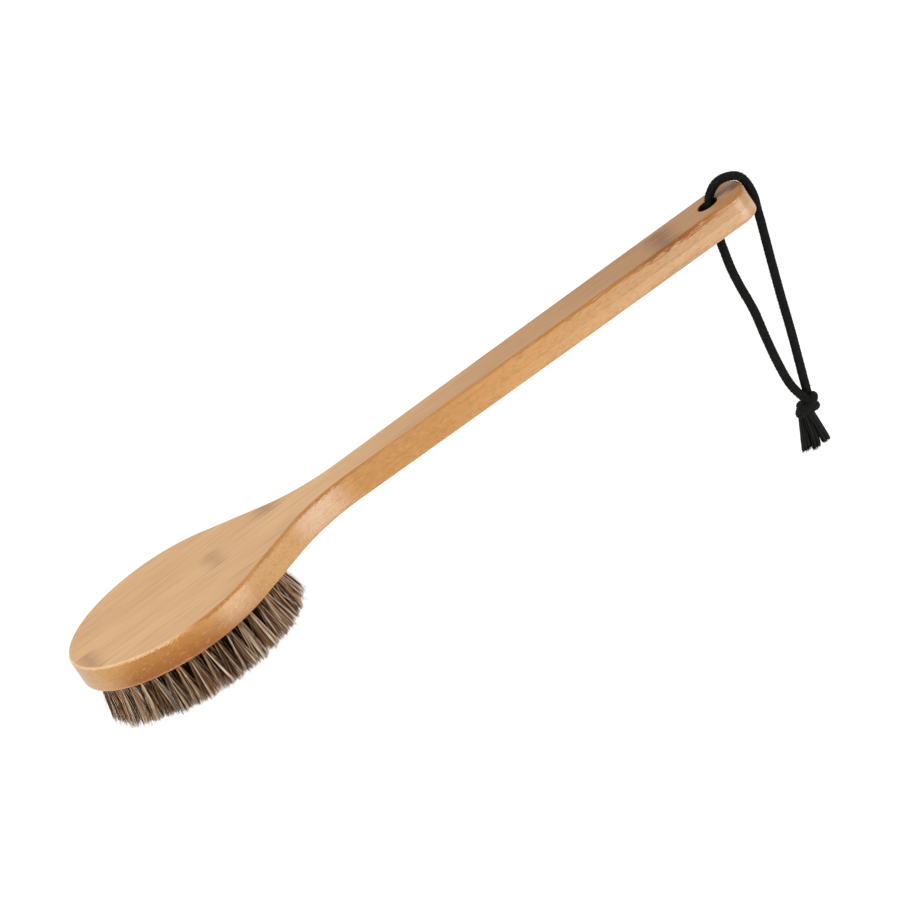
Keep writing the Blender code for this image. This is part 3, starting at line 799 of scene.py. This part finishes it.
def floor_paper():
    """Plain white paper: white to the camera and in reflections, shaded by the brush, and clear from below."""
    made, add, shader = new_material("white floor paper")
    set_inputs(shader, {"Base Color": (0.8, 0.8, 0.8), "Roughness": 1, "Specular IOR Level": 0})
    strength = add("Math.MULTIPLY", [shows_white(add), FLOOR_GLOW])
    glow = add("Emission", {"Strength": strength})
    lit = add("AddShader", [shader, glow])
    clear = add("BsdfTransparent")
    behind = add("NewGeometry").outputs["Backfacing"]
    mixed = add("MixShader", [behind, lit, clear])
    set_inputs(made.node_tree.nodes["Material Output"], {"Surface": mixed})
    return made


def studio_world():
    """White where it is seen or mirrored, and a softer grey where it lights the brush."""
    world = bpy.data.worlds.new("studio")
    bpy.context.scene.world = world
    world.use_nodes = True
    add = partial(add_node, world.node_tree)
    strength = add("MapRange", [shows_white(add), 0, 1, WORLD_LIGHT, 1])
    set_inputs(world.node_tree.nodes["Background"], {"Color": (1, 1, 1), "Strength": strength})


# ---- operators


class BATHBRUSH_OT_stage(bpy.types.Operator):
    """Camera, lights, world and floor"""

    bl_idname = "bath_brush.stage"
    bl_label = "Stage"

    def execute(self, context):
        settings = context.scene.bath_brush.stage
        yaw, rise, roll = (math.radians(angle) for angle in (YAW, RISE, ROLL))
        right = np.array([math.cos(yaw), math.sin(yaw), 0])
        up = np.array([-math.sin(rise) * math.sin(yaw), math.sin(rise) * math.cos(yaw), math.cos(rise)])
        back = np.cross(right, up)
        middle = np.array([-0.070, 0, BACK_Z]) + 8.91 * MM * right - 20.84 * MM * up
        across = math.cos(roll) * right - math.sin(roll) * up
        upright = math.sin(roll) * right + math.cos(roll) * up
        lens = bpy.data.cameras.new("camera")
        lens.sensor_width = 36
        lens.lens = 36 * settings.distance / settings.field
        lens.clip_end = 100
        camera = put_in_scene("camera", lens)
        turn = Matrix([[across[i], upright[i], back[i]] for i in range(3)])
        camera.matrix_world = Matrix.Translation(middle + settings.distance * back) @ turn.to_4x4()
        context.scene.camera = camera
        lamps = [
            ("top light", (-0.1, 0.1, 1.6), (2.4, 1.6), settings.top_power),
            ("right light", (0.63, -0.77, -0.3), (0.8, 0.36), settings.right_power),
            ("left light", (-1.1, -0.85, 0.45), (1.0, 0.6), settings.left_power),
        ]
        for name, place, size, power in lamps:
            lamp = bpy.data.lights.new(name, "AREA")
            lamp.shape = "RECTANGLE"
            lamp.size, lamp.size_y = size
            lamp.energy = power
            holder = put_in_scene(name, lamp)
            holder.visible_camera = False
            aim = Vector((-0.07, 0, 0)) - Vector(place)
            holder.matrix_world = Matrix.Translation(place) @ aim.to_track_quat("-Z", "Y").to_matrix().to_4x4()
        studio_world()
        reach = 6.0
        corners = np.array([(-reach, -reach), (reach, -reach), (reach, reach), (-reach, reach)])
        points = np.column_stack([corners, np.full(4, -settings.floor_depth)])
        mesh_object("floor", points, [np.array([[0, 1, 2, 3]])], floor_paper())
        context.scene.view_settings.view_transform = "Standard"
        return {"FINISHED"}


class BATHBRUSH_OT_cord(bpy.types.Operator):
    """The braided hanging cord, its knot and its two frayed tails"""

    bl_idname = "bath_brush.cord"
    bl_label = "Cord"

    def execute(self, context):
        settings = context.scene.bath_brush.cord
        braid = braided_polyester(settings)
        line = smooth_route(LOOP_ROUTE)
        points, faces, around, along, centre = braided_tube(line, (0, 1, 0), settings, 0)
        cord = add_piece("braided_cord", points, faces, braid, "cord", ["hanging_cord"], around=around, along=along)
        knot = self.make_knot(settings, braid)
        frayed = unlaid_yarn(settings)
        fuzz = self.make_fuzz(evenly(line, 0.5 * MM)[0], settings, frayed)
        tails = [self.make_tail(name, locks, frayed) for name, locks in TAIL_LOCKS.items()]
        return {"FINISHED"}

    def make_knot(self, settings, finish):
        """The cord's two ends run through the knot side by side, and two flat turns of cord lie round them."""
        lines = [(smooth_route(route), (0, 1, 0), False) for route in KNOT_RUNS]
        turns = np.linspace(0, math.tau, 121)[:, None]
        for middle, half_length, half_depth, dip in KNOT_TURNS:
            tip = math.radians(dip)
            level = np.array([math.cos(tip), 0, -math.sin(tip)])
            line = from_end(middle) + half_length * MM * np.cos(turns) * level
            line = line + half_depth * MM * np.sin(turns) * np.array([0, 1, 0])
            lines.append((line, (math.sin(tip), 0, math.cos(tip)), True))
        tubes, count = [], 0
        for line, reference, closed in lines:
            tubes.append(braided_tube(line, reference, settings, count, closed, step=0.3 * MM))
            count += len(tubes[-1][0])
        points, faces, around, along, _ = zip(*tubes)
        points, around, along = (np.concatenate(numbers) for numbers in (points, around, along))
        faces = [block for blocks in faces for block in blocks]
        return add_piece("overhand_knot", points, faces, finish, "cord", ["cord_knot"], around=around, along=along)

    def make_fuzz(self, centre, settings, finish):
        """Broken filaments that stand off the braid: short straight strands from random places round it."""
        rng = np.random.default_rng(5)
        at = rng.integers(1, len(centre) - 1, FUZZ_COUNT)
        ahead = unit(centre[at + 1] - centre[at - 1])
        side = unit(np.cross(ahead, (0, 1, 0)))
        turn = rng.uniform(0, math.tau, FUZZ_COUNT)[:, None]
        out = np.cos(turn) * side + np.sin(turn) * np.cross(ahead, side)
        lie = out + rng.uniform(-1.6, 1.6, (FUZZ_COUNT, 1)) * ahead
        lie = unit(lie + rng.uniform(-1.2, 1.2, (FUZZ_COUNT, 1)) * np.cross(ahead, out))
        root = centre[at] + (settings.radius - 0.1 * MM) * out
        long = rng.uniform(0.3, 0.9, (FUZZ_COUNT, 1, 1)) * MM
        stations = root[:, None] + np.linspace(0, 1, 3)[None, :, None] * long * lie[:, None]
        radii = np.array([1, 0.9, 0.4]) * rng.uniform(0.05, 0.09, (FUZZ_COUNT, 1)) * MM
        across = unit(np.cross(lie, ahead))
        frames = np.stack([across, np.cross(across, lie)], axis=1)
        points, faces = strands(stations, radii, frames=frames)
        tone = np.repeat(rng.uniform(0.3, 1, FUZZ_COUNT), 9)
        return add_piece("cord_fuzz", points, faces, finish, "cord", [], None, tone=tone)

    def make_tail(self, name, locks, finish):
        """Yarns laid like sunflower seeds round each lock's line, each wavy, then fine filaments at the tip."""
        rng = np.random.default_rng(len(name) * 7 + int(name[-1]))
        points, faces, tones = [], [], []
        count = 0
        for *places, root_radius, tip_radius, yarns in locks:
            root, middle, tip = from_end(places)
            for each, reads, start, past, thick, sides, tone in TAIL_STRANDS:
                number = yarns * each
                t = np.linspace(0, 1, reads)[None, :, None]
                turn = np.arange(number) * GOLDEN_ANGLE + rng.uniform(-0.2, 0.2, number)
                spread = np.sqrt((np.arange(number) + 0.5) / number)[:, None, None]
                reach = 1 + rng.uniform(*past, number)
                share = start + (reach[:, None, None] - start) * t
                line = (1 - share) ** 2 * root + 2 * share * (1 - share) * (2 * middle - (root + tip) / 2)
                line = line + share**2 * tip
                radius = (root_radius + (tip_radius - root_radius) * share) * MM
                sway = rng.uniform(0, math.tau, (number, 1, 1)) + share * rng.uniform(5, 11, (number, 1, 1))
                wave = np.concatenate([np.sin(sway), np.cos(sway), 0 * sway], axis=2)
                out = np.stack([np.cos(turn), np.sin(turn), 0 * turn], axis=1)[:, None]
                stations = line + spread * radius * out * (1 + 0.35 * share**3) + 0.14 * MM * share * wave
                radii = np.full((number, reads), thick * MM)
                radii[:, -1] *= 0.5
                made, blocks = strands(stations, radii, sides, count)
                points.append(made)
                faces += blocks
                count += len(made)
                tones.append(np.repeat(rng.uniform(*tone, number), reads * sides))
        points, tone = np.concatenate(points), np.concatenate(tones)
        return add_piece(name + "_yarns", points, faces, finish, "cord", [name], None, tone=tone)


class BATHBRUSH_OT_boards(bpy.types.Operator):
    """The back board and the bristle board, glued face to face"""

    bl_idname = "bath_brush.boards"
    bl_label = "Boards"

    def execute(self, context):
        settings = context.scene.bath_brush.boards
        boards = [
            ("back_board_bamboo", BACK_Z, GLUE_Z + 0.01 * MM, "back_board", True),
            ("bristle_board_bamboo", GLUE_Z - 0.01 * MM, FACE_Z, "bristle_board", False),
        ]
        for name, top, bottom, node, upper in boards:
            points, faces = board_surface(top, bottom, settings, not upper)
            finish = lacquered_bamboo("lacquered bamboo, " + node.replace("_", " "), settings, upper)
            add_piece(name, points, faces, finish, "bamboo", [node])
        return {"FINISHED"}


class BATHBRUSH_OT_tufts(bpy.types.Operator):
    """Horsehair tufts in their rings, in the same seven groups as the CAD model's"""

    bl_idname = "bath_brush.tufts"
    bl_label = "Tufts"

    def execute(self, context):
        settings = context.scene.bath_brush.tufts
        finish = natural_hair(settings)
        reach = math.tau / SECTORS
        middle = [(0, 0.0)] + [(1, SECTOR_TURN + (i + 0.5) * reach) for i in range(SECTORS)]
        self.make_group("hair_middle", middle, settings, finish, "tufts_middle", 0)
        for number in range(1, SECTORS + 1):
            turn = SECTOR_TURN + (number - 1) * reach
            places = [(ring, i) for ring in range(2, RING_COUNT + 1) for i in range(ring)]
            tufts = [(ring, turn + (i + 0.5) * reach / ring) for ring, i in places]
            name = f"hair_sector_{number}"
            self.make_group(name, tufts, settings, finish, f"tufts_sector_{number}", number)
        return {"FINISHED"}

    def make_group(self, name, tufts, settings, finish, node, seed):
        """All hairs of a group. A hair runs from its root in the tuft's hole to its own splayed tip."""
        rng = np.random.default_rng(100 + seed)
        ring = np.array([tuft[0] for tuft in tufts], float)
        turn = np.array([tuft[1] for tuft in tufts])
        hairs = np.where(ring > RING_COUNT - 2, settings.rim_hairs, settings.inner_hairs)
        which = np.repeat(np.arange(len(tufts)), hairs)
        total = len(which)
        outward = plan_way(turn)
        centre = outward * (ring * RING_PITCH)[:, None] + (HEAD_X, 0)
        lean = outward * np.tan(RIM_LEAN * ring / RING_COUNT)[:, None]
        lean = lean + rng.normal(0, math.tan(math.radians(1.5)), (len(tufts), 2))

        # hairs lie in locks, each with its own place, splay and tone
        each_lock = (len(tufts), settings.locks)
        lock = (which, rng.integers(0, settings.locks, total))
        lock_turn = rng.uniform(0, math.tau, each_lock)
        lock_out = np.sqrt(rng.uniform(0, 1, each_lock))
        lock_place = plan_way(lock_turn) * lock_out[..., None]
        lock_stray = rng.normal(0, LOCK_STRAY, (*each_lock, 2))
        root = lock_place[lock] * 0.9 + rng.normal(0, HAIR_STRAY, (total, 2))
        tip = (lock_place * 0.85 + lock_stray)[lock] + rng.normal(0, HAIR_STRAY, (total, 2))
        loose = rng.uniform(0, 1, total) < LOOSE_SHARE
        tip = tip + loose[:, None] * rng.normal(0, LOOSE_STRAY, (total, 2))

        length = BRISTLE_LENGTH - 1.2 * MM + rng.normal(0, 0.5, total) * settings.unevenness
        length = length + rng.normal(0, 0.38, each_lock)[lock] * settings.unevenness
        length = np.clip(length, BRISTLE_LENGTH - 4 * MM, BRISTLE_LENGTH + 1.6 * MM)
        t = np.linspace(0, 1, 5)[None, :, None]
        start = centre[which][:, None] + settings.root_radius * root[:, None]
        end = centre[which][:, None] + settings.tip_radius * tip[:, None] + (lean[which] * length[:, None])[:, None]
        plan = start + (end - start) * t**1.2
        bow = rng.normal(0, 0.22 * MM, (*each_lock, 2))[lock][:, None]
        bow = bow + rng.normal(0, 0.07 * MM, (total, 1, 2))
        plan = plan + bow * np.sin(math.pi * t)
        sunk = 0.4 * MM
        height = FACE_Z + sunk - (length[:, None, None] + sunk) * t
        stations = np.concatenate([plan, height], axis=2)

        # a lock is mostly pale, or brown to nearly black with single pale hairs, which are thicker
        pale_lock = rng.uniform(0, 1, each_lock) < PALE_LOCKS
        pale = rng.uniform(0, 1, total) < np.where(pale_lock[lock], PALE_WITHIN, PALE_ELSEWHERE)
        tone = rng.uniform(-0.22, 0.75, each_lock)[lock] + rng.normal(0, 0.1, total)
        # painted shade: hairs that aren't pale are darker in all rings but the outermost
        tone = np.where(ring[which] == RING_COUNT, tone, 0.3 * tone)
        tone = np.where(pale, rng.uniform(0.78, 1, total), np.clip(tone, 0, 0.75))
        # painted shade darkens each hair towards its root, and it grows paler to its tip
        tones = np.clip(tone[:, None] + np.array([-0.1, -0.03, 0, 0.03, 0.06]), 0, 1)
        taper = np.array([1, 1, 1, 0.9, 0.55])
        thick = rng.uniform(0.75, 1.2, total) * np.where(pale, PALE_THICKNESS, 1)
        points, faces = strands(stations, settings.hair_radius * taper * thick[:, None])
        add_piece(name, points, faces, finish, "hair", [node], None, tone=np.repeat(tones.ravel(), 3))


class BATHBRUSH_OT_wires(bpy.types.Operator):
    """Finish for the drawing wires, whose CAD shapes stay"""

    bl_idname = "bath_brush.wires"
    bl_label = "Wires"

    def execute(self, context):
        finish = galvanised_wire()
        for number in range(1, RING_COUNT + 1):
            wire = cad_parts[f"draw_wire_{number}"]
            wire.data.materials.clear()
            wire.data.materials.append(finish)
        return {"FINISHED"}


class BATHBRUSH_PT_panel(bpy.types.Panel):
    """Lists what the brush is made of"""

    bl_label = "Bath Brush"
    bl_idname = "BATHBRUSH_PT_panel"
    bl_space_type = "VIEW_3D"
    bl_region_type = "UI"
    bl_category = "Bath Brush"

    def draw(self, context):
        settings = context.scene.bath_brush
        groups = [settings.stage, settings.cord, settings.boards, settings.tufts, None]
        for operator, group in zip(OPERATORS, groups):
            box = self.layout.box()
            box.operator(operator.bl_idname)
            for name in group.__annotations__ if group else ():
                box.prop(group, name)


OPERATORS = (BATHBRUSH_OT_stage, BATHBRUSH_OT_cord, BATHBRUSH_OT_boards, BATHBRUSH_OT_tufts, BATHBRUSH_OT_wires)
CLASSES = (BoardSettings, TuftSettings, CordSettings, StageSettings, BrushSettings, *OPERATORS, BATHBRUSH_PT_panel)


def register():
    for made in CLASSES:
        bpy.utils.register_class(made)
    bpy.types.Scene.bath_brush = PointerProperty(type=BrushSettings)


def unregister():
    del bpy.types.Scene.bath_brush
    for made in reversed(CLASSES):
        bpy.utils.unregister_class(made)


def main():
    register()
    bpy.ops.bath_brush.stage()
    bpy.ops.bath_brush.cord()
    bpy.ops.bath_brush.boards()
    bpy.ops.bath_brush.tufts()
    bpy.ops.bath_brush.wires()


if __name__ == "__main__":
    main()
